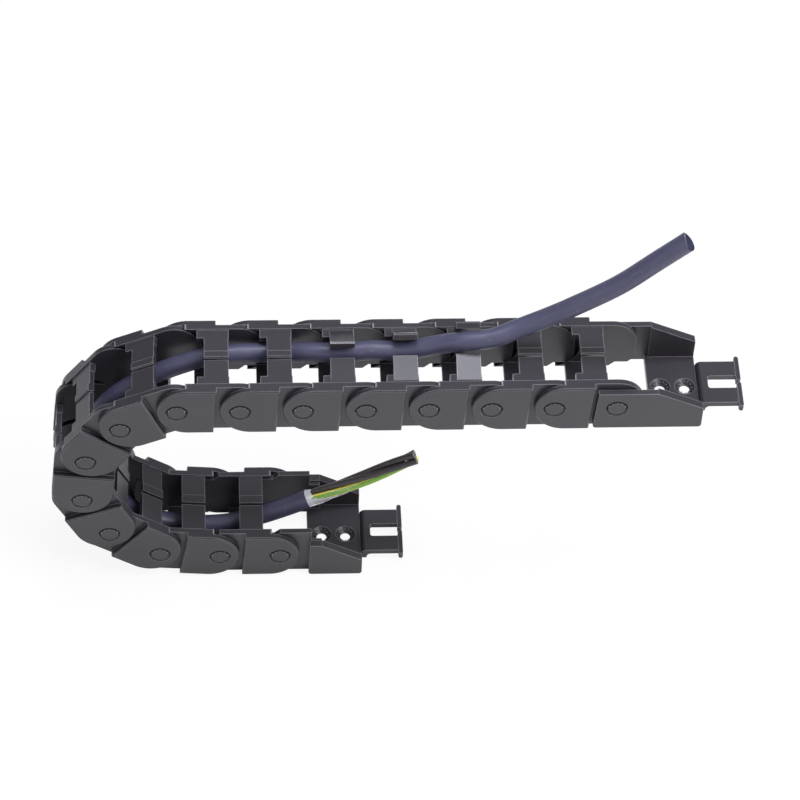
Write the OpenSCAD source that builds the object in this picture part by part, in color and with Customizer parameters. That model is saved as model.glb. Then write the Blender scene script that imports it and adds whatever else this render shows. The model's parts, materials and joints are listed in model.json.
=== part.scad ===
// Cable drag chain: fourteen moulded links between two end brackets,
// laid in a half-circle bend, with one cable threaded through it.
// Millimetres. X runs along the chain, Z is up, and Y is across the chain.
// The origin is between the two screw holes of the fixed end, on the face it is screwed down on.

/* [Chain] */
// Distance from one joint to the next
pitch = 25; // [24:0.25:28]
// Height of the side plates
link_h = 25; // [24:0.5:28]
// Width over the outer plates
chain_w = 38; // [34:1:60]
// Bend that the stops allow at one joint, in degrees
stop_angle = 30; // [24:1:30]

/* [Side plates] */
// Thickness of the outer plates
plate_t = 2.5; // [2:0.1:3]
// Thickness of the tongues
tongue_t = 2.3; // [1.8:0.1:2.8]
// Running gap between an outer plate and the tongue behind it
side_gap = 0.2; // [0.15:0.05:0.3]
// Distance from a bore to the far edge of its plate
plate_len = 15.8; // [15:0.2:16.6]
// How far that edge leans back over the height of the plate
plate_lean = 1.4; // [0:0.2:2]
// Length of a tongue past its pin
tongue_tip = 10.4; // [9.6:0.2:11]
// Bevel along the edges of the outer plates
edge_bevel = 0.5; // [0.2:0.1:0.8]

/* [Joints] */
// Diameter of the joint pins
pin_d = 7.6; // [6:0.2:8]
// Clearance round a pin, on the radius
pin_gap = 0.06; // [0.04:0.01:0.1]
// Width of the bevelled ring round each bore
bore_bevel = 0.7; // [0.3:0.1:1]
// Diameter of the stop studs
stop_d = 2.6; // [2:0.2:3]
// Distance of the stop studs from the joint
stop_r = 7.2; // [6.9:0.1:7.4]
// Height of the stop studs
stop_h = 0.9; // [0.6:0.1:1.2]

/* [Crossbars] */
// Width of a crossbar along the chain
bar_w = 9.7; // [8:0.1:11]
// Thickness of the outer crossbars
bar_t = 2.2; // [1.8:0.1:3]
// Thickness of the inner crossbars
inner_bar_t = 2.2; // [1.8:0.1:2.8]
// How far the crossbars lie below the edges of the side plates
bar_recess = 0.6; // [0.4:0.1:0.8]
// Distance from a bore to its outer crossbar
bar_start = 11; // [10.6:0.2:12]
// Distance from a bore to its inner crossbar
inner_bar_start = 7; // [6:0.2:8]
// Width of the lip where the two halves of an outer crossbar meet
lip_w = 4; // [3:0.2:5]
// Distance from the middle of the chain to the slit, towards the front
slit_offset = 0.5; // [0:0.1:2]
// Width of the slit
slit_w = 0.4; // [0.3:0.05:0.6]

/* [End brackets] */
// Thickness of the bracket floors
floor_t = 2.4; // [2.2:0.1:3]
// Thickness of the bracket walls
wall_t = 3.3; // [2.8:0.1:4]
// Distance between the two screw holes of a bracket
hole_pitch = 10; // [8:0.5:12]
// Diameter of the screw holes
hole_d = 4.2; // [3.6:0.1:4.6]
// Diameter of the countersinks
sink_d = 8.2; // [7:0.2:9]
// Height of the walls of the fixed end
fixed_wall_h = 19.2; // [16:0.2:22]
// Height of those walls at the comb
fixed_wall_end_h = 9.2; // [7:0.2:12]
// Height of the walls of the moving end
moving_wall_h = 20.6; // [19:0.2:22]
// Height of those walls at the comb
moving_wall_end_h = 11.4; // [8:0.2:13]

/* [Strain relief combs] */
// Length of a comb beyond its bracket
comb_len = 17.6; // [15:0.2:22]
// Thickness of a comb
comb_t = 2.4; // [2:0.1:3]
// Height of a comb's top over the underside of the bracket
comb_rise = 5; // [4.6:0.1:7]
// Width of one tooth
tooth_w = 7.6; // [6:0.1:9]
// Width of the slot between the teeth
slot_w = 6.2; // [5:0.1:8]
// Length of the head on a tooth
head_len = 1.9; // [1.4:0.1:2.4]
// How far a head stands out beside its tooth
head_out = 2.2; // [1.4:0.1:2.6]

/* [Cable] */
// Diameter of the cable
cable_d = 8; // [6:0.2:8.2]
// Diameter of one insulated core
core_d = 2.7; // [2:0.1:2.8]

/* [Hidden] */
LINKS = 14;
$fn = 64;
eps = 0.01;

BLACK = [0.09, 0.09, 0.1];
JACKET = [0.29, 0.3, 0.42];
WRAP = [0.8, 0.81, 0.84];
CORE_BLACK = [0.06, 0.06, 0.07];
CORE_YELLOW = [0.88, 0.86, 0.2];

// Bend of each joint, from the fixed end to the moving end, as the chain is laid
REST_BEND = [0, 5, 30, 30, 30, 30, 30, 25, 0, 0, 0, 0, 0, 0, 0];

half_w = chain_w / 2;
half_h = link_h / 2;
tongue_out = half_w - plate_t - side_gap;
tongue_in = tongue_out - tongue_t;
inner_w = 2 * tongue_in;
bore_r = pin_d / 2 + pin_gap;
// radius of the circle round a joint that the tongue stays inside, and of the one cut free for it
tongue_reach = sqrt(pow(half_h, 2) + pow(2, 2));
turn_gap = 0.3;
free_r = tongue_reach + turn_gap;
// the round end of an outer plate
nose_r = half_h;
nose_x = half_h - 8;
// corners of a tongue: the bevel at its foot, and the slope up to its tip
foot_bevel = 2.4;
slope_back = 2.8;
slope_turn = [1, 1.8];
slope_end = 3.6;
pin_bevel = 0.4;
groove_gap = 0.25;
groove_end_gap = 0.15;
// roots of the crossbars at the walls, and the overlap of the tongue's two parts
foot_len = 4;
foot_step = 2.8;
bridge_end = 8.5;
bridge_overlap = 8;
slit_slant = 0.8;
foot_extra = 0.4;
foot_over = 0.2;
// line that the halves of a crossbar swing about: from the wall, and below their top
flap_root = 1.2;
flap_depth = 0.4;
flap_overlap = 0.5;

// fixed end: where its walls start, measured from its joint, and where they end
fixed_wall_start = 12;
pin_to_holes = 23;
fixed_end_x = 11.3;
fixed_slope_start = 5.4;
fixed_wall_lean = 0.4;
fixed_root = [1, 5.4];
// moving end, measured from its joint
moving_lift = 0.8;
moving_wall_start = -9;
moving_slope_start = 16;
moving_wall_lean = 1.2;
moving_floor_start = free_r + 1.6;
moving_end_x = 34.7;
moving_hole_x = 24.7;
corner_r = 1.4;
sink_depth = 1.8;
slot_start = 4.2;
mouth_w = 0.9;
tenon_w = 12;
tenon_len = 1.8;
tenon_t = 0.8;
tenon_z = 0.4;
tenon_gap = 0.08;
head_under = 0.3;
head_over = 0.4;
slot_r = 1;

// cores of the cable, twisted round each other
core_off = core_d / sqrt(2) + 0.08;
core_twist = 330;
wrap_len = 2.4;
wrap_gap = 0.5;
CORE_ROUTE = [
    [-11, 2.5, 24],
    [0, 3.5, 29],
    [12, 4.5, 34.5],
    [24, 6, 40.5],
    [33.5, 7, 45.5]
];
// the cable, from its cut end along the chain to its bared end
CABLE_ROUTE = [
    [135, 6.5, 179.5],
    [123, 6, 168],
    [109, 5.5, 154.5],
    [92, 5, 142.5],
    [81, 5, 135.3],
    [70, 3.9, 130.2],
    [60.7, 1.9, 127.3],
    [49.1, 2.1, 125.1],
    [39, 4, 121.1],
    [26, 4.3, 117.3],
    [13.4, 5, 117],
    [1, 5.3, 115.5],
    [-10.8, 6.3, 114.5],
    [-22, 8.6, 111.8],
    [-42, 8.4, 111.5],
    [-58, 7, 109.5],
    [-80, 5, 99],
    [-96, 3, 83],
    [-102, 1, 60],
    [-96, -1, 37],
    [-80, -2, 20.5],
    [-62, -2.2, 14],
    [-46, -2, 13.6],
    [-32, 0, 16],
    [-20, 1.5, 20],
    [-11, 2.5, 24]
];

// places of the joints, worked out from the fixed end outwards
fixed_pin = [-pin_to_holes, half_h];
heading_0 = 180;
function heading(i) = i == 0 ? heading_0 - REST_BEND[0] : heading(i - 1) - REST_BEND[i];
function joint_at(i) = i == 0 ? fixed_pin
    : joint_at(i - 1) + pitch * [cos(heading(i - 1)), sin(heading(i - 1))];

// puts a piece drawn with its bore at the origin and the next joint along +X onto joint i
module at_joint(i) {
    p = joint_at(i);
    translate([p[0], 0, p[1]])
        rotate([0, -heading(i), 0])
            children();
}

// extrudes an XZ outline from y0 to y1
module slab(y0, y1) {
    translate([0, y1, 0])
        rotate([90, 0, 0])
            linear_extrude(y1 - y0)
                children();
}

// a cylinder along Y from y0 to y1
module rod(y0, y1, r0, r1) {
    translate([0, y0, 0])
        rotate([-90, 0, 0])
            cylinder(h = y1 - y0, r1 = r0, r2 = r1);
}

module both_sides() {
    children();
    mirror([0, 1, 0])
        children();
}

// ---- side plates -------------------------------------------------------------------------

// outline of an outer plate round its bore
module plate_outline() {
    intersection() {
        translate([nose_x, 0])
            circle(r = nose_r, $fn = 96);
        translate([nose_x - nose_r, -half_h])
            square([nose_r + eps, link_h]);
    }
    polygon([
        [nose_x, half_h],
        [nose_x, -half_h],
        [plate_len - plate_lean, -half_h],
        [plate_len, half_h]
    ]);
}

// cuts the bevel along the straight edges and the nose of an outer plate, whose face is at -half_w
module plate_bevels() {
    b = edge_bevel;
    lean = atan(plate_lean / link_h);
    for (side = [-1, 1])
        translate([0, -half_w, side * half_h])
            rotate([45, 0, 0])
                cube([4 * pitch, b * sqrt(2), b * sqrt(2)], center = true);
    translate([plate_len - plate_lean / 2, -half_w, 0])
        rotate([0, lean, 0])
            rotate([0, 0, 45])
                cube([b * sqrt(2), b * sqrt(2), 2 * link_h], center = true);
    translate([nose_x, -half_w, 0])
        rotate([-90, 0, 0])
            rotate([0, 0, 90])
                rotate_extrude(angle = 180, $fn = 96)
                    polygon([
                        [nose_r - b, -1],
                        [nose_r + 1, -1],
                        [nose_r + 1, 1],
                        [nose_r, b],
                        [nose_r - b, 0]
                    ]);
}

// the stud on the inside of an outer plate that meets the ends of the groove in the tongue
module stop_stud() {
    translate([0, 0, stop_r])
        rod(-half_w + plate_t - eps, -half_w + plate_t + stop_h, stop_d / 2, stop_d / 2);
}

// a bore with its bevelled ring, through an outer plate
module plate_bore(t) {
    rod(-half_w - 1, -half_w + t + 1, bore_r, bore_r);
    rod(-half_w - eps, -half_w + bore_bevel, bore_r + bore_bevel + eps, bore_r);
}

module outer_plate() {
    difference() {
        union() {
            slab(-half_w, -half_w + plate_t)
                plate_outline();
            stop_stud();
        }
        plate_bevels();
        plate_bore(plate_t);
    }
}

// outline of a tongue, its pin at the origin and its tip towards +X; back is where it starts
module tongue_outline(back) {
    foot = -half_h + foot_bevel;
    shoulder = half_h - tongue_tip;
    intersection() {
        union() {
            polygon([
                [back, half_h],
                [back, -half_h],
                [0, -half_h],
                [foot_bevel, foot],
                [tongue_tip - slope_back, foot],
                [tongue_tip - slope_turn[0], foot + slope_turn[1]],
                [tongue_tip, foot + slope_end],
                [tongue_tip, shoulder],
                [0, shoulder],
                [0, half_h]
            ]);
            translate([0, shoulder])
                intersection() {
                    circle(r = tongue_tip, $fn = 96);
                    square(tongue_tip);
                }
        }
        union() {
            circle(r = tongue_reach, $fn = 96);
            translate([back, -half_h])
                square([-back, link_h]);
        }
    }
}

// the groove in a tongue that the stop stud of the next piece runs in
module stop_groove() {
    r0 = stop_r - stop_d / 2 - groove_gap;
    r1 = stop_r + stop_d / 2 + groove_gap;
    ends = asin((stop_d / 2 + groove_end_gap) / stop_r);
    deep = stop_h + groove_gap;
    translate([0, -tongue_out + deep, 0])
        rotate([90, 0, 0])
            rotate([0, 0, 90 - stop_angle - ends])
                rotate_extrude(angle = stop_angle + 2 * ends, $fn = 96)
                    translate([r0, 0])
                        square([r1 - r0, deep + 1]);
}

// one tongue with its pin, the pin at the origin
module tongue(back) {
    difference() {
        slab(-tongue_out, -tongue_in)
            tongue_outline(back);
        stop_groove();
    }
    rod(-half_w + pin_bevel, -tongue_in - eps, pin_d / 2, pin_d / 2);
    rod(-half_w, -half_w + pin_bevel, pin_d / 2 - pin_bevel, pin_d / 2);
}

// ---- links -------------------------------------------------------------------------------

// joins the outer plate to the tongue behind it, and carries the ends of the crossbars
module plate_root() {
    slab(-half_w + plate_t - eps, -tongue_in)
        difference() {
            polygon([
                [0, half_h],
                [0, -half_h],
                [plate_len - plate_lean, -half_h],
                [plate_len, half_h]
            ]);
            circle(r = free_r, $fn = 96);
        }
}

// the tongue-side part of a link between its root and its pin
module tongue_bridge() {
    slab(-tongue_out, -tongue_in)
        difference() {
            translate([bar_start, -half_h])
                square([pitch - bar_start - bridge_overlap, link_h]);
            circle(r = free_r, $fn = 96);
        }
}

// cross-section, in Y and Z, of the rear half of an outer crossbar, from its wall to its lip
module rear_half_section() {
    tip = -slit_offset - slit_w / 2;
    wall = tongue_in - flap_root + flap_overlap;
    polygon([
        [wall, 0],
        [tip + lip_w, 0],
        [tip + lip_w - bar_recess, bar_recess],
        [tip + bar_recess, bar_recess],
        [tip, 0],
        [tip + slit_slant, -bar_t],
        [wall, -bar_t]
    ]);
}

// cross-section of the front half, whose end slips under the lip
module front_half_section() {
    tip = -slit_offset - slit_w * 1.5;
    wall = -tongue_in + flap_root - flap_overlap;
    polygon([
        [wall, 0],
        [tip - slit_w, 0],
        [tip, -slit_w],
        [tip + slit_slant - slit_w, -bar_t],
        [wall, -bar_t]
    ]);
}

// one half of an outer crossbar, swung open about its root by an angle
module half_bar(side, open) {
    root = side * (tongue_in - flap_root);
    translate([bar_start, root, half_h - bar_recess - flap_depth])
        rotate([side * -open, 0, 0])
            translate([0, -root, flap_depth])
                rotate([90, 0, 90])
                    linear_extrude(bar_w)
                        if (side > 0)
                            rear_half_section();
                        else
                            front_half_section();
}

// the wide foot of an outer crossbar at one wall
module bar_foot() {
    foot_t = bar_t + foot_extra;
    translate([bar_start - foot_step, -tongue_in - eps, half_h - bar_recess - foot_t])
        cube([bar_w + foot_step + foot_over, foot_len, foot_t]);
}

// the moulded bar on the inside of the bend, with a lip and a groove like the outer ones
module inner_bar() {
    base = -half_h + bar_recess;
    difference() {
        translate([inner_bar_start, -tongue_in - eps, base])
            cube([bar_w, inner_w + 2 * eps, inner_bar_t]);
        translate([inner_bar_start - 1, -slit_offset - 1.5 * slit_w, base - eps])
            cube([bar_w + 2, 2 * slit_w, inner_bar_t / 2]);
    }
    translate([inner_bar_start, -slit_offset + slit_w / 2, -half_h])
        cube([bar_w, lip_w, bar_recess + eps]);
}

// a link, its bore at the origin and its pins at +pitch; the two angles open its crossbar
module link(rear_open, front_open) {
    color(BLACK) {
        both_sides() {
            outer_plate();
            plate_root();
            tongue_bridge();
            translate([pitch, 0, 0])
                tongue(-bridge_end);
            bar_foot();
        }
        half_bar(1, rear_open);
        half_bar(-1, front_open);
        inner_bar();
    }
}

// ---- end brackets ------------------------------------------------------------------------

// points of an arc from a0 to a1 degrees round a centre
function arc(c, r, a0, a1, n = 8) =
    [for (i = [0:n]) c + r * [cos(a0 + (a1 - a0) * i / n), sin(a0 + (a1 - a0) * i / n)]];

// outline of a bracket wall, with its sloping top and round lower corners
module wall_outline(x0, x1, slope_x, top, end_top, base, lean) {
    r = corner_r;
    polygon(concat(
        arc([x0 + r, base + r], r, 180, 270),
        arc([x1 - r, base + r], r, 270, 360),
        [[x1, end_top]],
        [[slope_x, top]],
        [[x0 + lean, top]]
    ));
}

// two countersunk screw holes, along X from the middle between them; top is the floor's upper face
module screw_holes(base, top) {
    for (side = [-1, 1])
        translate([side * hole_pitch / 2, 0, base]) {
            translate([0, 0, -1])
                cylinder(d = hole_d, h = top - base + 2);
            translate([0, 0, top - base - sink_depth])
                cylinder(d1 = hole_d, d2 = sink_d + 2 * eps, h = sink_depth + eps);
        }
}

// the pocket in the end of a floor that a comb's tenon sits in
module comb_pocket(x, base) {
    translate([x - tenon_len - tenon_gap, -tenon_w / 2 - tenon_gap, base + tenon_z - tenon_gap])
        cube([tenon_len + 1, tenon_w + 2 * tenon_gap, tenon_t + 2 * tenon_gap]);
}

module fixed_end_bracket() {
    x0 = fixed_pin[0] + fixed_wall_start;
    root_top = fixed_wall_h - 1;
    color(BLACK) {
        at_joint(0)
            both_sides()
                tongue(-fixed_wall_start - fixed_root[0] - eps);
        both_sides() {
            slab(-half_w, -half_w + wall_t)
                wall_outline(x0, fixed_end_x, x0 + fixed_slope_start, fixed_wall_h, fixed_wall_end_h, 0, fixed_wall_lean);
            slab(-half_w + plate_t, -tongue_in)
                translate([x0 + fixed_root[0], 0])
                    square([fixed_root[1] - fixed_root[0], root_top]);
        }
        difference() {
            translate([x0, -half_w + wall_t - eps, 0])
                cube([fixed_end_x - x0, chain_w - 2 * wall_t + 2 * eps, floor_t]);
            screw_holes(0, floor_t);
            comb_pocket(fixed_end_x, 0);
        }
    }
}

module moving_wall_outline(base) {
    wall_outline(
        moving_wall_start,
        moving_end_x,
        moving_slope_start,
        base + moving_wall_h,
        base + moving_wall_end_h,
        base,
        moving_wall_lean
    );
}

module moving_end_bracket() {
    base = -half_h + moving_lift;
    color(BLACK)
        at_joint(LINKS) {
            both_sides()
                difference() {
                    union() {
                        slab(-half_w, -half_w + plate_t)
                            moving_wall_outline(base);
                        stop_stud();
                        slab(-half_w + plate_t - eps, -half_w + wall_t)
                            intersection() {
                                moving_wall_outline(base);
                                translate([moving_slope_start, -link_h])
                                    square([moving_end_x, 2 * link_h]);
                            }
                    }
                    plate_bore(plate_t);
                }
            difference() {
                translate([moving_floor_start, -half_w + plate_t - eps, base])
                    cube([moving_end_x - moving_floor_start, chain_w - 2 * plate_t + 2 * eps, floor_t]);
                translate([moving_hole_x, 0, 0])
                    screw_holes(base, base + floor_t);
                comb_pocket(moving_end_x, base);
            }
        }
}

// ---- strain relief combs -----------------------------------------------------------------

// side view of a comb: tenon, riser and plate, from the end face of its bracket at the origin
module comb_profile() {
    r_in = 2;
    under = comb_rise - comb_t;
    polygon(concat(
        [[0, 0]],
        [[comb_t, 0]],
        arc([comb_t + r_in, under - r_in], r_in, 180, 90),
        [[comb_len, under]],
        [[comb_len, comb_rise]],
        arc([comb_t, comb_rise - comb_t], comb_t, 90, 180)
    ));
}

// a head across the end of one tooth, between two places along Y
module tooth_head(y0, y1) {
    r = head_len / 2;
    z0 = comb_rise - comb_t - head_under;
    h = comb_t + head_under + head_over;
    translate([comb_len - r, y0 + r, z0])
        cylinder(r = r, h = h);
    translate([comb_len - r, y1 - r, z0])
        cylinder(r = r, h = h);
    translate([comb_len - head_len, y0 + r, z0])
        cube([head_len, y1 - y0 - head_len, h]);
}

module comb() {
    comb_w = 2 * tooth_w + slot_w;
    color(BLACK) {
        difference() {
            slab(-comb_w / 2, comb_w / 2)
                comb_profile();
            translate([slot_start + slot_r, -slot_w / 2, -1])
                cube([comb_len, slot_w, comb_rise + 2]);
            translate([slot_start, -slot_w / 2 + slot_r, -1])
                cube([2 * slot_r, slot_w - 2 * slot_r, comb_rise + 2]);
            for (side = [-1, 1])
                translate([slot_start + slot_r, side * (slot_w / 2 - slot_r), -1])
                    cylinder(r = slot_r, h = comb_rise + 2);
        }
        both_sides()
            tooth_head(-comb_w / 2 - head_out, -mouth_w / 2);
        translate([-tenon_len, -tenon_w / 2, tenon_z])
            cube([tenon_len + eps, tenon_w, tenon_t]);
    }
}

module fixed_end_comb() {
    translate([fixed_end_x, 0, 0])
        comb();
}

module moving_end_comb() {
    at_joint(LINKS)
        translate([moving_end_x, 0, -half_h + moving_lift])
            comb();
}

// ---- cable -------------------------------------------------------------------------------

function unit(v) = v / norm(v);

// a point between p1 and p2 on a smooth curve through four points
function between(p0, p1, p2, p3, t) =
    0.5 * (2 * p1 + (p2 - p0) * t + (2 * p0 - 5 * p1 + 4 * p2 - p3) * t * t
        + (3 * p1 - p0 - 3 * p2 + p3) * t * t * t);

// a smooth path through the points of a route
function smooth(route, steps) = let (n = len(route) - 1)
    concat(
        [for (i = [0:n - 1]) for (s = [0:steps - 1])
            between(route[max(i - 1, 0)], route[i], route[i + 1], route[min(i + 2, n)], s / steps)],
        [route[n]]
    );

function tangent(path, i) = unit(path[min(i + 1, len(path) - 1)] - path[max(i - 1, 0)]);
function side_way(path, i) = unit(cross(tangent(path, i), [0, 1, 0]));
function back_way(path, i) = cross(side_way(path, i), tangent(path, i));

// one ring of a tube at path point i, shifted sideways by off at angle turn
function ring(path, i, r, sides, off, turn) =
    let (u = side_way(path, i), v = back_way(path, i))
    let (c = path[i] + off * (cos(turn) * u + sin(turn) * v))
    [for (k = [0:sides - 1]) c + r * (cos(360 * k / sides) * u + sin(360 * k / sides) * v)];

// a tube along a path, or one strand of a twist round it
module tube(path, d, sides, off = 0, turn_0 = 0, twist = 0) {
    n = len(path) - 1;
    points = [for (i = [0:n]) each ring(path, i, d / 2, sides, off, turn_0 + twist * i / n)];
    walls = [for (i = [0:n - 1]) for (k = [0:sides - 1])
        let (a = i * sides + k, b = i * sides + (k + 1) % sides)
        each [[a, b, b + sides], [a, b + sides, a + sides]]];
    first = [for (k = [0:sides - 1]) sides - 1 - k];
    last = [for (k = [0:sides - 1]) n * sides + k];
    polyhedron(points = points, faces = concat([first], walls, [last]));
}

module cable_jacket() {
    color(JACKET)
        tube(smooth(CABLE_ROUTE, 2), cable_d, 12);
}

// turns a piece drawn along +Z into the direction of the first stretch of the cores
module at_jacket_end() {
    d = tangent(smooth(CORE_ROUTE, 2), 0);
    translate(CORE_ROUTE[0])
        rotate([0, acos(d[2]), atan2(d[1], d[0])])
            children();
}

module jacket_end_wrap() {
    color(WRAP)
        at_jacket_end()
            translate([0, 0, wrap_gap])
                difference() {
                    cylinder(d = cable_d - 0.3, h = wrap_len);
                    translate([0, 0, -1])
                        cylinder(d = cable_d - 0.9, h = wrap_len + 2);
                }
}

module core(k, shade) {
    color(shade)
        tube(smooth(CORE_ROUTE, 3), core_d, 8, core_off, 90 * k, core_twist);
}

module core_green_yellow() {
    core(0, CORE_YELLOW);
}

module core_black_1() {
    core(1, CORE_BLACK);
}

module core_black_2() {
    core(2, CORE_BLACK);
}

module core_black_3() {
    core(3, CORE_BLACK);
}

// ---- the assembly ------------------------------------------------------------------------

// how far each link's outer crossbar is pushed open by the cable: rear half, front half
function bar_opening(k) = k == 10 ? [28, 3] : k == 11 ? [42.5, 10] : k == 12 ? [62, 15] : [0, 0];

module chain_link(k) {
    at_joint(k - 1)
        link(bar_opening(k)[0], bar_opening(k)[1]);
}

module link_01() { chain_link(1); }
module link_02() { chain_link(2); }
module link_03() { chain_link(3); }
module link_04() { chain_link(4); }
module link_05() { chain_link(5); }
module link_06() { chain_link(6); }
module link_07() { chain_link(7); }
module link_08() { chain_link(8); }
module link_09() { chain_link(9); }
module link_10() { chain_link(10); }
module link_11() { chain_link(11); }
module link_12() { chain_link(12); }
module link_13() { chain_link(13); }
module link_14() { chain_link(14); }

fixed_end_bracket();
fixed_end_comb();
link_01();
link_02();
link_03();
link_04();
link_05();
link_06();
link_07();
link_08();
link_09();
link_10();
link_11();
link_12();
link_13();
link_14();
moving_end_bracket();
moving_end_comb();
cable_jacket();
jacket_end_wrap();
core_green_yellow();
core_black_1();
core_black_2();
core_black_3();
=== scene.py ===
import json
import math
import random

import bpy
from mathutils import Matrix, Vector


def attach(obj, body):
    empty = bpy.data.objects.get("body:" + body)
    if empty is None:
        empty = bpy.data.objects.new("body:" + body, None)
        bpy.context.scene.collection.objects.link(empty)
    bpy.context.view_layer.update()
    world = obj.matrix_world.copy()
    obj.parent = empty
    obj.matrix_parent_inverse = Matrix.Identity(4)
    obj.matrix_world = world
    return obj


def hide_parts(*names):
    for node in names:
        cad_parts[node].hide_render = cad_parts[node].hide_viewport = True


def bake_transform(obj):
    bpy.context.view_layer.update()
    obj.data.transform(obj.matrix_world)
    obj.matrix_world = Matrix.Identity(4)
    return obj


bl_info = {
    "name": "Cable Drag Chain",
    "version": (1, 0, 0),
    "blender": (4, 5, 0),
    "location": "View3D > Sidebar > Cable Chain",
    "description": "Dresses a moulded cable drag chain and the cable in it",
    "category": "Add Mesh",
}

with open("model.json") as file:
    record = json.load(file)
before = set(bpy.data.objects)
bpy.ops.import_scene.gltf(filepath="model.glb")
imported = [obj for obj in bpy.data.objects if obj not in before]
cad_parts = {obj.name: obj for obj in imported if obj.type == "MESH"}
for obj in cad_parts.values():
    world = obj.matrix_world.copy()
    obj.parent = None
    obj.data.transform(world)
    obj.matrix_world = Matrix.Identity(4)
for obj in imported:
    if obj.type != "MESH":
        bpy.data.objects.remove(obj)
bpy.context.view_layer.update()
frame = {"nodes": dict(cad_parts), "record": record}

MM = 0.001
PITCH = 25.0
HALF_HEIGHT = 12.5
HALF_WIDTH = 19.0
REST_BEND = [0, 5, 30, 30, 30, 30, 30, 25] + [0] * 7
FIRST_PIN = (-23.0, HALF_HEIGHT)

# the route of the cable, from its cut end along the chain to its stripped end
CABLE_ROUTE = [
    (135, 6.5, 179.5),
    (123, 6, 168),
    (109, 5.5, 154.5),
    (92, 5, 142.5),
    (81, 5, 135.3),
    (70, 3.9, 130.2),
    (60.7, 1.9, 127.3),
    (49.1, 2.1, 125.1),
    (39, 4, 121.1),
    (26, 4.3, 117.3),
    (13.4, 5, 117),
    (1, 5.3, 115.5),
    (-10.8, 6.3, 114.5),
    (-22, 8.6, 111.8),
    (-42, 8.4, 111.5),
    (-58, 7, 109.5),
    (-80, 5, 99),
    (-96, 3, 83),
    (-102, 1, 60),
    (-96, -1, 37),
    (-80, -2, 20.5),
    (-62, -2.2, 14),
    (-46, -2, 13.6),
    (-32, 0, 16),
    (-20, 1.5, 20),
    (-11, 2.5, 24),
]
CORE_ROUTE = [(-11, 2.5, 24), (0, 3.5, 29), (12, 4.5, 34.5), (24, 6, 40.5), (33.5, 7, 45.5)]
CORE_NODES = ["core_green_yellow", "core_black_1", "core_black_2", "core_black_3"]
ROUTE_STEPS = 8  # points between two points of a route

JACKET_RADIUS = 4.0 * MM
JACKET_SIDES = 28
BENDING_LINKS = 12  # links that the jacket passes before it leaves the chain
BEND_INSET = 0.15  # share of a stretch at each end; the inset it gives is not used
SCARF = 0.5  # slant of the jacket's cut end, as a share of its radius

CORE_RADIUS = 1.35 * MM
CORE_GAP = 0.08 * MM
CORE_SIDES = 16
CORE_FIRST_TURN = 315
CORE_TWIST = 150

COLLAR_RADIUS = 3.85 * MM
COLLAR_TAPER = 0.25 * MM
COLLAR_RINGS = 3
COLLAR_SIDES = 40
STRAND_SIDES = 5
STRAND_SPREAD = 3.4

# the crescent over each pin is a painted shadow: a thin near black sheet where the pin's recess
# is shaded
SHADOW_OUTER = 4.5 * MM
SHADOW_INNER = 3.3 * MM
SHADOW_SWEEP = 176
SHADOW_THICKNESS = 0.1 * MM
SHADOW_DEPTH = 0.03
DOT_CIRCLE = 3.35 * MM
DOT_THICKNESS = 0.12 * MM
DOT_DEPTH = 0.07
DOT_START = 22
DOT_SWEEP = 136

RIB_CIRCLE = 3.35 * MM
RIB_SIZE = (1.7 * MM, 0.22 * MM, 0.22 * MM)
RIB_HEIGHT = 1.75 * MM

CENTRE = (0.03, 0, 0.08)  # what the lights point at
FLOOR_REACH = 4.0
FLOOR_DROP = -0.0004
FLOOR_GLOW = 0.9
WORLD_LEVEL = 0.34
CAMERA_AZIMUTH = -4.9
CAMERA_ELEVATION = 50.66
CAMERA_ROLL = 0.0556
CAMERA_TARGET = (0.02342, -0.019, 0.11473)
CAMERA_DISTANCE = 1.4175


# ---- sizes and finishes that a user may change -------------------------------------------


class ChainFinish(bpy.types.PropertyGroup):
    plastic: bpy.props.FloatVectorProperty(
        name="Plastic",
        description="Colour of the moulded links and brackets",
        subtype="COLOR",
        size=3,
        min=0,
        max=1,
        default=(0.024, 0.022, 0.027),
    )
    # painted highlight: the light grey that the edges are mixed towards, strongest on upper
    # edges, stands in for light catching them
    edge: bpy.props.FloatVectorProperty(
        name="Shining edges",
        description="Colour of the glinting edges of the plastic",
        subtype="COLOR",
        size=3,
        min=0,
        max=1,
        default=(0.27, 0.26, 0.29),
    )
    edge_width: bpy.props.FloatProperty(
        name="Edge width",
        description="Width of the glinting band along the edges",
        subtype="DISTANCE",
        default=0.0005,
    )
    jacket: bpy.props.FloatVectorProperty(
        name="Jacket",
        description="Colour of the cable jacket",
        subtype="COLOR",
        size=3,
        min=0,
        max=1,
        default=(0.052, 0.052, 0.096),
    )


class ChainDetail(bpy.types.PropertyGroup):
    # the dots are light grey bosses, painted highlights for the glints along the lower edge of
    # the dark crescent over each pin
    pin_dots: bpy.props.IntProperty(
        name="Dots on a pin",
        description="Small bosses along the edge of each pin",
        min=0,
        default=5,
    )
    dot_size: bpy.props.FloatProperty(
        name="Dot size",
        description="Radius of one boss",
        subtype="DISTANCE",
        default=0.0003,
    )
    ribs: bpy.props.IntProperty(
        name="Ribs in a countersink",
        description="Radial ribs round each screw hole",
        min=0,
        default=12,
    )
    strands: bpy.props.IntProperty(
        name="Shield strands",
        description="Loose strands of the shield at the stripped end",
        min=0,
        default=16,
    )


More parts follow.
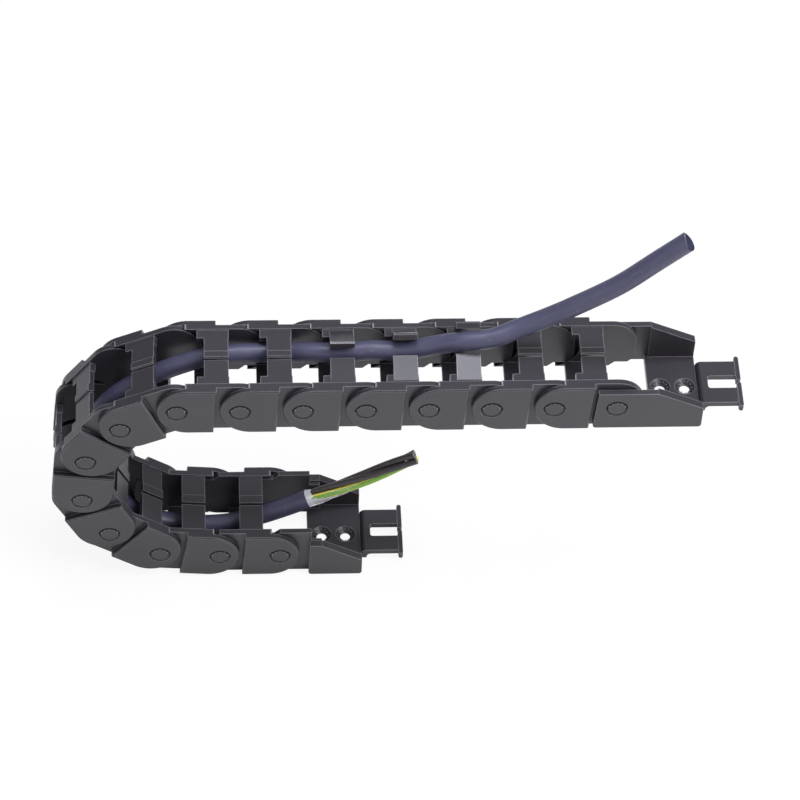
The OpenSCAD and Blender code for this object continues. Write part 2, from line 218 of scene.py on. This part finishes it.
class ChainStage(bpy.types.PropertyGroup):
    key_power: bpy.props.FloatProperty(
        name="Key light",
        description="Power of the softbox over the right side",
        subtype="POWER",
        default=20,
    )
    fill_power: bpy.props.FloatProperty(
        name="Fill light",
        description="Power of the softbox at the left front",
        subtype="POWER",
        default=2.5,
    )
    top_power: bpy.props.FloatProperty(
        name="Overhead light",
        description="Power of the small softbox straight above",
        subtype="POWER",
        default=9,
    )
    lens: bpy.props.FloatProperty(
        name="Lens",
        description="Focal length of the camera in millimetres",
        default=161.4,
    )


# ---- scales of the surface patterns, in features per metre ---------------------------------

CLOUD_SCALE = 60.0
GRAIN_SCALE = 2600.0
FLECK_SCALE = 1900.0
# fine noise of the painted highlights and the painted shadow on the pins
PIN_PAINT_SCALE = 2500.0
JACKET_FINE_SCALE = 900.0
JACKET_MARK_SCALE = 330.0
JACKET_STRETCH = (9.0, 40.0, 1.0)
BLACK_SCALE = 700.0
STRIPED_SCALE = 800.0
GREEN_FROM = 0.7  # how far round the core the green stripe starts
SHIELD_SCALE = 1500.0


# ---- shader maths ------------------------------------------------------------------------


class Value:
    """A number socket that ordinary arithmetic works on."""

    def __init__(self, shader, socket):
        self.shader = shader
        self.socket = socket

    def maths(self, operation, *others):
        return self.shader.add("ShaderNodeMath", {"operation": operation}, [self, *others])

    def __add__(self, other):
        return self.maths("ADD", other)

    def __sub__(self, other):
        return self.maths("SUBTRACT", other)

    def __rsub__(self, other):
        return self.shader.add("ShaderNodeMath", {"operation": "SUBTRACT"}, [other, self])

    def __mul__(self, other):
        return self.maths("MULTIPLY", other)

    def __gt__(self, other):
        return self.maths("GREATER_THAN", other)

    def clamp(self):
        node = {"operation": "ADD", "use_clamp": True}
        return self.shader.add("ShaderNodeMath", node, [self, 0.0])

    def fraction(self):
        return self.maths("FRACT")

    __radd__ = __add__
    __rmul__ = __mul__


class Shader:
    """A material's node tree with its Principled shader."""

    def __init__(self, name, **plain):
        self.material = bpy.data.materials.new(name)
        self.material.use_nodes = True
        self.tree = self.material.node_tree
        self.tree.nodes.clear()
        self.surface = self.tree.nodes.new("ShaderNodeBsdfPrincipled")
        self.output = self.tree.nodes.new("ShaderNodeOutputMaterial")
        self.tree.links.new(self.surface.outputs[0], self.output.inputs["Surface"])
        for socket, value in plain.items():
            self.surface.inputs[socket.replace("_", " ")].default_value = value

    def add(self, kind, settings, values, output=0):
        """A node of a kind; settings are its properties, values its inputs by place or name."""
        node = self.tree.nodes.new(kind)
        for key, value in settings.items():
            setattr(node, key, value)
        pairs = values.items() if isinstance(values, dict) else enumerate(values)
        for key, value in pairs:
            if isinstance(value, Value):
                self.tree.links.new(value.socket, node.inputs[key])
            elif value is not None:
                node.inputs[key].default_value = value
        return Value(self, node.outputs[output])

    def object_place(self):
        return self.add("ShaderNodeTexCoord", {}, {}, "Object")

    def noise(self, place, scale, detail=2.0):
        settings = {"Vector": place, "Scale": scale, "Detail": detail}
        return self.add("ShaderNodeTexNoise", {}, settings, "Fac")

    def mix(self, factor, first, second):
        settings = {"data_type": "RGBA"}
        values = {0: factor, 6: rgba(first), 7: rgba(second)}
        return self.add("ShaderNodeMix", settings, values, 2)

    def painted_edge_highlight(self, width):
        """Painted highlight, near 1 along the upper edges of a piece, 0 on its flat faces."""
        round_normal = self.add("ShaderNodeBevel", {"samples": 4}, {"Radius": width})
        flat_normal = self.add("ShaderNodeNewGeometry", {}, {}, "Normal")
        same = self.add(
            "ShaderNodeVectorMath",
            {"operation": "DOT_PRODUCT"},
            [round_normal, flat_normal],
            "Value",
        )
        split = self.tree.nodes.new("ShaderNodeSeparateXYZ")
        self.tree.links.new(round_normal.socket, split.inputs[0])
        upward = Value(self, split.outputs[2])
        # upper edges, whose rounded normal points up, get more of the painted highlight
        return ((1.0 - same) * 8.0 * (0.25 + 0.9 * upward).clamp()).clamp()

    def bump(self, height, strength, distance):
        values = {"Height": height, "Strength": strength, "Distance": distance}
        return self.add("ShaderNodeBump", {}, values)

    def feed(self, **inputs):
        for socket, value in inputs.items():
            self.tree.links.new(value.socket, self.surface.inputs[socket.replace("_", " ")])
        return self.material


def rgba(colour):
    return colour if isinstance(colour, Value) else (*colour[:3], 1.0)


def scaled(colour, factor):
    return tuple(c * factor for c in colour[:3])


def moulded_plastic():
    finish = bpy.context.scene.chain_finish
    shader = Shader("moulded_black_plastic", Specular_IOR_Level=0.5)
    place = shader.object_place()
    cloud = shader.noise(place, CLOUD_SCALE, 3.0)
    grain = shader.noise(place, GRAIN_SCALE, 2.0)
    flecks = (shader.noise(place, FLECK_SCALE, 1.0) - 0.66).clamp() * 3.0
    edges = shader.painted_edge_highlight(finish.edge_width)
    body = shader.mix(cloud, scaled(finish.plastic, 0.82), scaled(finish.plastic, 1.2))
    speckled = shader.mix(flecks, body, scaled(finish.plastic, 2.6))
    # painted highlight: the edges are mixed towards a light grey
    colour = shader.mix(edges * (0.55 + 0.45 * cloud), speckled, finish.edge)
    roughness = 0.27 + 0.16 * grain
    return shader.feed(
        Base_Color=colour,
        Roughness=roughness,
        Normal=shader.bump(grain, 0.25, 0.00008),
    )


def painted_glint_material():
    shader = Shader("pin_painted_glint")
    fine = shader.noise(shader.object_place(), PIN_PAINT_SCALE, 2.0)
    # painted highlight: light grey, far lighter than the black plastic, for glints on the pin's
    # edge
    colour = shader.mix(fine, (0.3, 0.3, 0.32), (0.55, 0.54, 0.58))
    return shader.feed(Base_Color=colour, Roughness=0.25 + 0.2 * fine)


def painted_shadow_material():
    shader = Shader("pin_relief_plastic", Specular_IOR_Level=0.15)
    fine = shader.noise(shader.object_place(), PIN_PAINT_SCALE, 2.0)
    # painted shadow: near black, for the shaded top of the groove round each pin
    colour = shader.mix(fine, (0.004, 0.004, 0.005), (0.012, 0.011, 0.013))
    return shader.feed(Base_Color=colour, Roughness=0.6 + 0.2 * fine)


def jacket_plastic():
    finish = bpy.context.scene.chain_finish
    shader = Shader("cable_jacket_blue_grey", Specular_IOR_Level=0.5)
    along = shader.add("ShaderNodeUVMap", {"uv_map": "UVMap"}, {})
    stretch = shader.add("ShaderNodeMapping", {}, {"Vector": along, "Scale": JACKET_STRETCH})
    streaks = shader.noise(stretch, 3.0, 3.0)
    fine = shader.noise(shader.object_place(), JACKET_FINE_SCALE, 2.0)
    body = shader.mix(streaks, scaled(finish.jacket, 0.75), scaled(finish.jacket, 1.3))
    spots = shader.noise(shader.object_place(), JACKET_MARK_SCALE, 3.0)
    marks = (spots - 0.62).clamp() * 2.5
    colour = shader.mix(marks, body, (0.13, 0.13, 0.2))
    return shader.feed(
        Base_Color=colour,
        Roughness=0.34 + 0.2 * fine,
        Normal=shader.bump(fine, 0.3, 0.0001),
    )


def black_insulation():
    shader = Shader("core_black_insulation")
    fine = shader.noise(shader.object_place(), BLACK_SCALE, 2.0)
    colour = shader.mix(fine, (0.02, 0.018, 0.02), (0.06, 0.05, 0.055))
    return shader.feed(Base_Color=colour, Roughness=0.3 + 0.2 * fine)


def striped_insulation():
    shader = Shader("core_green_and_yellow_insulation")
    uv = shader.add("ShaderNodeUVMap", {"uv_map": "UVMap"}, {})
    split = shader.tree.nodes.new("ShaderNodeSeparateXYZ")
    shader.tree.links.new(uv.socket, split.inputs[0])
    around = Value(shader, split.outputs[0])
    stripe = around.fraction() > GREEN_FROM
    fine = shader.noise(shader.object_place(), STRIPED_SCALE, 2.0)
    yellow = shader.mix(fine, (0.75, 0.62, 0.03), (0.9, 0.84, 0.22))
    green = shader.mix(fine, (0.1, 0.26, 0.03), (0.24, 0.44, 0.07))
    return shader.feed(Base_Color=shader.mix(stripe, yellow, green), Roughness=0.3 + 0.2 * fine)


def shield_metal():
    shader = Shader("tinned_shield", Metallic=0.35)
    streaks = shader.noise(shader.object_place(), SHIELD_SCALE, 2.0)
    colour = shader.mix(streaks, (0.5, 0.52, 0.6), (0.93, 0.94, 0.98))
    return shader.feed(Base_Color=colour, Roughness=0.25 + 0.25 * streaks)


# ---- places and meshes -------------------------------------------------------------------


def joint_frames():
    """For each joint its place and the heading of the piece after it, in degrees."""
    heading = 180.0
    x, z = FIRST_PIN
    frames = [((x, z), heading)]
    for bend in REST_BEND[1:]:
        x += PITCH * math.cos(math.radians(heading))
        z += PITCH * math.sin(math.radians(heading))
        heading -= bend
        frames.append(((x, z), heading))
    return frames


def smooth(route, steps):
    """A smooth path through the points of a route, in metres."""
    points = [Vector(p) for p in route]
    last = len(points) - 1
    path = []
    for i in range(last):
        p0, p1 = points[max(i - 1, 0)], points[i]
        p2, p3 = points[i + 1], points[min(i + 2, last)]
        for s in range(steps):
            t = s / steps
            path.append(
                0.5
                * (
                    2 * p1
                    + (p2 - p0) * t
                    + (2 * p0 - 5 * p1 + 4 * p2 - p3) * t * t
                    + (3 * p1 - p0 - 3 * p2 + p3) * t**3
                )
            )
    path.append(points[last])
    return [p * MM for p in path]


def frames_along(path):
    """Tangent and the two sideways directions at each point of a path."""
    out = []
    for i in range(len(path)):
        ahead, behind = path[min(i + 1, len(path) - 1)], path[max(i - 1, 0)]
        tangent = (ahead - behind).normalized()
        side = tangent.cross(Vector((0, 1, 0))).normalized()
        out.append((tangent, side, side.cross(tangent)))
    return out


def new_object(name, vertices, faces, material, uv=None):
    mesh = bpy.data.meshes.new(name)
    mesh.from_pydata([tuple(v) for v in vertices], [], faces)
    mesh.update()
    obj = bpy.data.objects.new(name, mesh)
    bpy.context.scene.collection.objects.link(obj)
    mesh.materials.append(material)
    if uv:
        layer = mesh.uv_layers.new(name="UVMap")
        for loop in mesh.loops:
            layer.data[loop.index].uv = uv[loop.vertex_index]
    return obj


def tube(name, path, radius, sides, material, frames, first=0.0, shape=None):
    """A closed tube along a path; shape gives the radius and a push along the path per vertex."""
    vertices, uv = [], []
    travelled = first
    for i, (point, (tangent, side, back)) in enumerate(zip(path, frames)):
        if i:
            travelled += (path[i] - path[i - 1]).length
        for k in range(sides):
            turn = 2 * math.pi * k / sides
            r, push = shape(i, turn) if shape else (radius, 0.0)
            way = math.cos(turn) * side + math.sin(turn) * back
            vertices.append(point + r * way + push * tangent)
            uv.append((k / sides, travelled))
    rings = len(path)
    faces = []
    for i in range(rings - 1):
        for k in range(sides):
            a, b = i * sides + k, i * sides + (k + 1) % sides
            faces.append((a, a + sides, b + sides, b))
    faces.append(tuple(range(sides)))
    faces.append(tuple((rings - 1) * sides + k for k in reversed(range(sides))))
    obj = new_object(name, vertices, faces, material, uv)
    soften(obj, skip_last=2)
    round_normals(obj, frames, sides)
    return obj


def round_normals(obj, frames, sides):
    """Normals straight out from the path, so that two tubes that meet show no seam."""
    mesh = obj.data
    radial = []
    for _, side, back in frames:
        for k in range(sides):
            turn = 2 * math.pi * k / sides
            radial.append(math.cos(turn) * side + math.sin(turn) * back)
    normals = []
    for polygon in mesh.polygons:
        for index in polygon.loop_indices:
            vertex = mesh.loops[index].vertex_index
            normals.append(radial[vertex] if polygon.use_smooth else polygon.normal.copy())
    mesh.normals_split_custom_set(normals)


def soften(obj, skip_last=0):
    """Smooth shading, with the last faces, a tube's two ends, left flat."""
    count = len(obj.data.polygons) - skip_last
    for polygon in obj.data.polygons:
        polygon.use_smooth = polygon.index < count


def length_of(path):
    return sum((b - a).length for a, b in zip(path, path[1:]))


# ---- patterns made with Geometry Nodes ---------------------------------------------------


def arc_pattern(name, shape, material):
    """A node tree that sets small bosses or ribs out along an arc in the XY plane."""
    tree = bpy.data.node_groups.new(name, "GeometryNodeTree")
    face = tree.interface
    face.new_socket("Geometry", in_out="OUTPUT", socket_type="NodeSocketGeometry")
    sizes = {}
    for label, kind in (
        ("Count", "NodeSocketInt"),
        ("Radius", "NodeSocketFloat"),
        ("Start", "NodeSocketFloat"),
        ("Sweep", "NodeSocketFloat"),
        ("Size", "NodeSocketVector"),
    ):
        sizes[label] = face.new_socket(label, in_out="INPUT", socket_type=kind).identifier
    node, link = tree.nodes.new, tree.links.new
    given, result = node("NodeGroupInput"), node("NodeGroupOutput")
    arc = node("GeometryNodeCurveArc")
    link(given.outputs["Count"], arc.inputs["Resolution"])
    link(given.outputs["Radius"], arc.inputs["Radius"])
    link(given.outputs["Start"], arc.inputs["Start Angle"])
    link(given.outputs["Sweep"], arc.inputs["Sweep Angle"])
    points = node("GeometryNodeCurveToPoints")
    points.mode = "EVALUATED"
    link(arc.outputs["Curve"], points.inputs["Curve"])
    if shape == "boss":
        form = node("GeometryNodeMeshUVSphere")
        form.inputs["Segments"].default_value = 8
        form.inputs["Rings"].default_value = 5
        form.inputs["Radius"].default_value = 0.5
    else:
        form = node("GeometryNodeMeshCube")
    place = node("GeometryNodeInstanceOnPoints")
    link(points.outputs["Points"], place.inputs["Points"])
    link(form.outputs["Mesh"], place.inputs["Instance"])
    link(points.outputs["Rotation"], place.inputs["Rotation"])
    link(given.outputs["Size"], place.inputs["Scale"])
    real = node("GeometryNodeRealizeInstances")
    coat = node("GeometryNodeSetMaterial")
    coat.inputs["Material"].default_value = material
    link(place.outputs["Instances"], real.inputs["Geometry"])
    link(real.outputs["Geometry"], coat.inputs["Geometry"])
    link(coat.outputs["Geometry"], result.inputs["Geometry"])
    return tree, sizes


def pattern_mesh(tree, sizes, **values):
    """The plain mesh that a pattern gives for some values of its inputs."""
    holder = bpy.data.objects.new("pattern", bpy.data.meshes.new("pattern"))
    bpy.context.scene.collection.objects.link(holder)
    modifier = holder.modifiers.new("Pattern", "NODES")
    modifier.node_group = tree
    for label, value in values.items():
        modifier[sizes[label]] = value
    bpy.context.view_layer.update()
    evaluated = holder.evaluated_get(bpy.context.evaluated_depsgraph_get())
    mesh = bpy.data.meshes.new_from_object(evaluated)
    bpy.data.objects.remove(holder)
    return mesh


def joined(name, parts, material):
    """One object from meshes, each with the matrix that puts it in place."""
    vertices, faces = [], []
    for mesh, matrix in parts:
        base = len(vertices)
        vertices += [matrix @ v.co for v in mesh.vertices]
        for polygon in mesh.polygons:
            faces.append(tuple(base + i for i in polygon.vertices))
    return new_object(name, vertices, faces, material)


# ---- pieces ------------------------------------------------------------------------------


class CHAIN_OT_plastic(bpy.types.Operator):
    """Give the links, brackets and combs their moulded black plastic"""

    bl_idname = "chain.plastic"
    bl_label = "Moulded plastic"

    def execute(self, context):
        material = moulded_plastic()
        for name, obj in frame["nodes"].items():
            if name.startswith(("link_", "fixed_end_", "moving_end_")):
                for place in obj.material_slots:
                    place.material = material
        return {"FINISHED"}


def crescent(outer, inner, sweep, steps=24, blunt=0.92):
    """A flat crescent in the XY plane, its middle at the top and its tips a little blunt."""
    vertices, faces = [], []
    for i in range(steps + 1):
        turn = math.radians(90 - sweep / 2 + sweep * i / steps)
        thin = blunt * abs(2 * i / steps - 1) ** 3
        way = Vector((math.cos(turn), math.sin(turn), 0))
        vertices += [way * (inner + (outer - inner) * thin), way * outer]
        vertices += [v - Vector((0, 0, SHADOW_THICKNESS)) for v in vertices[-2:]]
    for i in range(steps):
        a, b = 4 * i, 4 * i + 4
        faces += [(a, a + 1, b + 1, b), (a + 2, b + 2, b + 3, a + 3)]
        faces += [(a, b, b + 2, a + 2), (a + 1, a + 3, b + 3, b + 1)]
    faces += [(0, 2, 3, 1), (4 * steps, 4 * steps + 1, 4 * steps + 3, 4 * steps + 2)]
    mesh = bpy.data.meshes.new("crescent")
    mesh.from_pydata([tuple(v) for v in vertices], [], faces)
    mesh.update()
    return mesh


class CHAIN_OT_pin_painted_light(bpy.types.Operator):
    """Set a dark crescent, a painted shadow, over the top of every joint pin, with the small
    bosses, painted light as glints, along its edge
    """

    bl_idname = "chain.pin_bosses"
    bl_label = "Pin bosses"

    def execute(self, context):
        detail = context.scene.chain_detail
        glint_paint, shadow_paint = painted_glint_material(), painted_shadow_material()
        tree, sizes = arc_pattern("pin_bosses", "boss", glint_paint)
        size = 2 * detail.dot_size
        dots = pattern_mesh(
            tree,
            sizes,
            Count=detail.pin_dots,
            Radius=DOT_CIRCLE,
            Start=math.radians(DOT_START),
            Sweep=math.radians(DOT_SWEEP),
            Size=(size, DOT_THICKNESS, size),
        )
        shadow_crescent = crescent(SHADOW_OUTER, SHADOW_INNER, SHADOW_SWEEP)
        # each joint gets the painted shadow crescent and the painted highlight bosses on both
        # side plates
        for i, ((x, z), _) in enumerate(joint_frames()):
            body = "fixed_end" if i == 0 else f"link_{i:02d}_body"
            for name, mesh, material, depth in (
                ("pin_relief", shadow_crescent, shadow_paint, SHADOW_DEPTH),
                ("pin_bosses", dots, glint_paint, DOT_DEPTH),
            ):
                parts = []
                for side in (-1, 1):
                    place = Vector((x, side * (HALF_WIDTH - depth), z)) * MM
                    turn = Matrix.Rotation(math.radians(90), 4, "X")
                    if side > 0:
                        turn = Matrix.Rotation(math.pi, 4, "Z") @ turn
                    parts.append((mesh, Matrix.Translation(place) @ turn))
                piece = joined(f"{name}_{i + 1:02d}", parts, material)
                if name == "pin_bosses":
                    soften(piece)
                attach(piece, body)
        return {"FINISHED"}


class CHAIN_OT_countersink_ribs(bpy.types.Operator):
    """Set the radial ribs in the countersinks of both brackets"""

    bl_idname = "chain.countersink_ribs"
    bl_label = "Countersink ribs"

    def execute(self, context):
        detail = context.scene.chain_detail
        material = bpy.data.materials["moulded_black_plastic"]
        tree, sizes = arc_pattern("countersink_ribs", "rib", material)
        mesh = pattern_mesh(
            tree,
            sizes,
            Count=detail.ribs,
            Radius=RIB_CIRCLE,
            Start=0.0,
            Sweep=math.radians(360 - 360 / detail.ribs),
            Size=RIB_SIZE,
        )
        for name, mount in (("fixed_end", "fixed_end_holes"), ("moving_end", "moving_end_holes")):
            found = [m for m in frame["record"]["mounts"] if m["name"] == mount][0]
            centre = Vector(found["pos_m"])
            gap = found["dims"]["spacing_x_mm"] * MM / 2
            rise = Vector((0, 0, RIB_HEIGHT))
            parts = [
                (mesh, Matrix.Translation(centre + rise + Vector((side * gap, 0, 0))))
                for side in (-1, 1)
            ]
            piece = joined(f"{name}_countersink_ribs", parts, material)
            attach(piece, name)
        return {"FINISHED"}


def jacket_path():
    return list(reversed(smooth(CABLE_ROUTE, ROUTE_STEPS)))


def cuts_along(path):
    """Where the jacket passes the middle of each link, as places in the path."""
    frames = joint_frames()
    cuts = [0]
    for k in range(1, BENDING_LINKS + 1):
        (x0, z0), (x1, z1) = frames[k - 1][0], frames[k][0]
        middle = Vector(((x0 + x1) / 2, 0, (z0 + z1) / 2)) * MM
        distance = [(Vector((p.x, 0, p.z)) - middle).length for p in path]
        cuts.append(distance.index(min(distance)))
    return cuts


class CHAIN_OT_jacket(bpy.types.Operator):
    """Lay the cable jacket through the chain, in one piece per link and a tail"""

    bl_idname = "chain.jacket"
    bl_label = "Cable jacket"

    def execute(self, context):
        material = jacket_plastic()
        radius = JACKET_RADIUS
        path = jacket_path()
        frames = frames_along(path)
        cuts = cuts_along(path)
        links = range(1, BENDING_LINKS + 1)
        bodies = ["fixed_end"] + [f"link_{k:02d}_body" for k in links]
        run = 0.0
        for k in range(BENDING_LINKS):
            first, last = cuts[k], cuts[k + 1] + 1
            stretch = path[first:last]
            piece = tube(
                f"jacket_{k + 1:02d}",
                stretch,
                radius,
                JACKET_SIDES,
                material,
                frames[first:last],
                run,
            )
            run += length_of(stretch)
            start, end = stretch[0], stretch[-1]
            inset = BEND_INSET * (end - start)
            start + inset
            end - inset
            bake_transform(piece)
            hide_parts("cable_jacket")
        stretch = path[cuts[-1]:]
        rings = len(stretch)

        def cut_end(i, turn):
            slope = SCARF * radius * (1 - math.cos(turn)) if i == rings - 1 else 0.0
            return radius, -slope

        tail = tube(
            "jacket_tail",
            stretch,
            radius,
            JACKET_SIDES,
            material,
            frames[cuts[-1]:],
            run,
            cut_end,
        )
        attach(tail, bodies[-1])
        length_of(stretch)
        return {"FINISHED"}


def core_path(k):
    """The line of one core, twisted round the others."""
    path = smooth(CORE_ROUTE, ROUTE_STEPS)
    frames = frames_along(path)
    offset = math.sqrt(2) * CORE_RADIUS + CORE_GAP
    out = []
    for i, (point, (_, side, back)) in enumerate(zip(path, frames)):
        twist = CORE_TWIST * i / (len(path) - 1)
        turn = math.radians(CORE_FIRST_TURN + 90 * k - twist)
        out.append(point + offset * (math.cos(turn) * side + math.sin(turn) * back))
    return out, frames


class CHAIN_OT_cores(bpy.types.Operator):
    """Twist the four insulated cores out of the stripped end"""

    bl_idname = "chain.cores"
    bl_label = "Cores"

    def execute(self, context):
        black, striped = black_insulation(), striped_insulation()
        for k, name in enumerate(CORE_NODES):
            path, frames = core_path(k)
            material = black if k else striped
            piece = tube(name + "_dressed", path, CORE_RADIUS, CORE_SIDES, material, frames)
            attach(piece, "fixed_end")
            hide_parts(name)
            length_of(path)
        return {"FINISHED"}


class CHAIN_OT_shield(bpy.types.Operator):
    """Fray the shield at the stripped end"""

    bl_idname = "chain.shield"
    bl_label = "Frayed shield"

    def execute(self, context):
        detail = context.scene.chain_detail
        material = shield_metal()
        rng = random.Random(11)
        path = smooth(CORE_ROUTE, ROUTE_STEPS)
        frames = frames_along(path)
        collar = path[:COLLAR_RINGS]
        reach = [rng.uniform(-0.4, 0.9) for _ in range(COLLAR_SIDES)]

        def ragged(i, turn):
            side = int(round(turn / (2 * math.pi) * COLLAR_SIDES)) % COLLAR_SIDES
            push = reach[side] * MM if i == COLLAR_RINGS - 1 else 0.0
            return COLLAR_RADIUS - COLLAR_TAPER * i, push

        wrap = tube(
            "shield_collar",
            collar,
            COLLAR_RADIUS,
            COLLAR_SIDES,
            material,
            frames[:COLLAR_RINGS],
            0.0,
            ragged,
        )
        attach(wrap, "fixed_end")
        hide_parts("jacket_end_wrap")
        vertices, faces = [], []
        for s in range(detail.strands):
            turn = math.radians(180 + 150 * (s + rng.uniform(0, 1)) / detail.strands)
            count = rng.randint(9, 19)
            line = []
            for i in range(count):
                _, side, back = frames[i]
                spread = (STRAND_SPREAD - 0.05 * i + 0.5 * math.sin(0.5 * i + s)) * MM
                swing = turn - 0.06 * i + 0.05 * math.sin(i * 0.9 + s)
                line.append(
                    path[i] + spread * (math.cos(swing) * side + math.sin(swing) * back)
                )
            thick = rng.uniform(0.13, 0.26) * MM
            base = len(vertices)
            for i, point in enumerate(line):
                _, side, back = frames[i]
                r = thick * (1 - 0.8 * i / (count - 1))
                for k in range(STRAND_SIDES):
                    a = 2 * math.pi * k / STRAND_SIDES
                    vertices.append(point + r * (math.cos(a) * side + math.sin(a) * back))
            for i in range(count - 1):
                ring = base + i * STRAND_SIDES
                for k in range(STRAND_SIDES):
                    a, b = ring + k, ring + (k + 1) % STRAND_SIDES
                    faces.append((a, a + STRAND_SIDES, b + STRAND_SIDES, b))
            tip = base + (count - 1) * STRAND_SIDES
            faces.append(tuple(base + k for k in range(STRAND_SIDES)))
            faces.append(tuple(tip + k for k in reversed(range(STRAND_SIDES))))
        strands = new_object("shield_strands", vertices, faces, material)
        soften(strands)
        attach(strands, "fixed_end")
        return {"FINISHED"}


# ---- stage -------------------------------------------------------------------------------


def softbox(name, place, size, power):
    """A rectangular light that faces the middle of the chain."""
    data = bpy.data.lights.new(name, "AREA")
    data.shape = "RECTANGLE"
    data.size, data.size_y = size
    data.energy = power
    obj = bpy.data.objects.new(name, data)
    bpy.context.scene.collection.objects.link(obj)
    obj.location = place
    away = Vector(place) - Vector(CENTRE)
    obj.rotation_euler = away.to_track_quat("Z", "Y").to_euler()
    return obj


def white_to_camera(material):
    """Mostly plain white where the camera sees it, and plain pale paint to every other ray."""
    tree = material.node_tree
    node, link = tree.nodes.new, tree.links.new
    tree.nodes.clear()
    output, mix = node("ShaderNodeOutputMaterial"), node("ShaderNodeMixShader")
    diffuse, glow = node("ShaderNodeBsdfDiffuse"), node("ShaderNodeEmission")
    paths, share = node("ShaderNodeLightPath"), node("ShaderNodeMath")
    diffuse.inputs["Color"].default_value = (0.8, 0.8, 0.8, 1)
    glow.inputs["Color"].default_value = (1, 1, 1, 1)
    glow.inputs["Strength"].default_value = 1.0
    share.operation = "MULTIPLY"
    share.inputs[1].default_value = FLOOR_GLOW
    link(paths.outputs["Is Camera Ray"], share.inputs[0])
    link(share.outputs[0], mix.inputs["Fac"])
    link(diffuse.outputs[0], mix.inputs[1])
    link(glow.outputs[0], mix.inputs[2])
    link(mix.outputs[0], output.inputs["Surface"])


class CHAIN_OT_stage(bpy.types.Operator):
    """Set the pale floor, the soft lights and the camera"""

    bl_idname = "chain.stage"
    bl_label = "Stage"

    def execute(self, context):
        scene = context.scene
        stage = scene.chain_stage
        floor_material = bpy.data.materials.new("pale_floor")
        floor_material.use_nodes = True
        white_to_camera(floor_material)
        signs = [(-1, -1), (1, -1), (1, 1), (-1, 1)]
        corners = [(x * FLOOR_REACH, y * FLOOR_REACH, FLOOR_DROP) for x, y in signs]
        new_object("floor", corners, [(0, 1, 2, 3)], floor_material)
        softbox("key", (0.75, -0.35, 1.1), (0.9, 0.9), stage.key_power)
        softbox("fill", (-0.9, -0.9, 0.7), (1.0, 1.0), stage.fill_power)
        overhead = softbox("overhead", (0.08, 0.2, 1.3), (0.5, 0.35), stage.top_power)
        overhead.data.color = (0.86, 0.88, 1.0)
        world = bpy.data.worlds.new("studio")
        scene.world = world
        world.use_nodes = True
        nodes = world.node_tree
        back = nodes.nodes["Background"]
        paths, level = nodes.nodes.new("ShaderNodeLightPath"), nodes.nodes.new("ShaderNodeMix")
        level.data_type = "FLOAT"
        level.inputs[2].default_value = WORLD_LEVEL
        level.inputs[3].default_value = 1.0
        nodes.links.new(paths.outputs["Is Camera Ray"], level.inputs[0])
        nodes.links.new(level.outputs[0], back.inputs["Strength"])
        back.inputs["Color"].default_value = (1, 1, 1, 1)
        self.add_camera(scene, stage.lens)
        scene.view_settings.view_transform = "Standard"
        return {"FINISHED"}

    def add_camera(self, scene, lens):
        azimuth, elevation = math.radians(CAMERA_AZIMUTH), math.radians(CAMERA_ELEVATION)
        away = Vector(
            (
                math.sin(azimuth) * math.cos(elevation),
                -math.cos(azimuth) * math.cos(elevation),
                math.sin(elevation),
            )
        )
        right = (-away).cross(Vector((0, 0, 1))).normalized()
        up = right.cross(-away)
        c, s = math.cos(CAMERA_ROLL), math.sin(CAMERA_ROLL)
        right, up = c * right + s * up, c * up - s * right
        data = bpy.data.cameras.new("camera")
        data.lens = lens
        data.sensor_width = 36
        data.clip_end = 20
        camera = bpy.data.objects.new("camera", data)
        scene.collection.objects.link(camera)
        place = Vector(CAMERA_TARGET) + CAMERA_DISTANCE * away
        turn = Matrix((right, up, away)).transposed().to_4x4()
        camera.matrix_world = Matrix.Translation(place) @ turn
        scene.camera = camera


class CHAIN_PT_sidebar(bpy.types.Panel):
    """Lists the chain's steps"""

    bl_idname = "CHAIN_PT_sidebar"
    bl_label = "Cable Chain"
    bl_space_type = "VIEW_3D"
    bl_region_type = "UI"
    bl_category = "Cable Chain"

    def draw(self, context):
        for group in (
            context.scene.chain_finish,
            context.scene.chain_detail,
            context.scene.chain_stage,
        ):
            for key in group.__annotations__:
                self.layout.prop(group, key)
        for operator in OPERATORS:
            self.layout.operator(operator.bl_idname)


OPERATORS = (
    CHAIN_OT_stage,
    CHAIN_OT_plastic,
    CHAIN_OT_jacket,
    CHAIN_OT_cores,
    CHAIN_OT_shield,
    CHAIN_OT_pin_painted_light,
    CHAIN_OT_countersink_ribs,
)
GROUPS = {"chain_finish": ChainFinish, "chain_detail": ChainDetail, "chain_stage": ChainStage}


def register():
    for name, group in GROUPS.items():
        bpy.utils.register_class(group)
        setattr(bpy.types.Scene, name, bpy.props.PointerProperty(type=group))
    for operator in OPERATORS:
        bpy.utils.register_class(operator)
    bpy.utils.register_class(CHAIN_PT_sidebar)


def unregister():
    bpy.utils.unregister_class(CHAIN_PT_sidebar)
    for operator in reversed(OPERATORS):
        bpy.utils.unregister_class(operator)
    for name, group in GROUPS.items():
        delattr(bpy.types.Scene, name)
        bpy.utils.unregister_class(group)


def main():
    register()
    bpy.ops.chain.stage()
    bpy.ops.chain.plastic()
    bpy.ops.chain.jacket()
    bpy.ops.chain.cores()
    bpy.ops.chain.shield()
    bpy.ops.chain.pin_bosses()
    bpy.ops.chain.countersink_ribs()


if __name__ == "__main__":
    main()
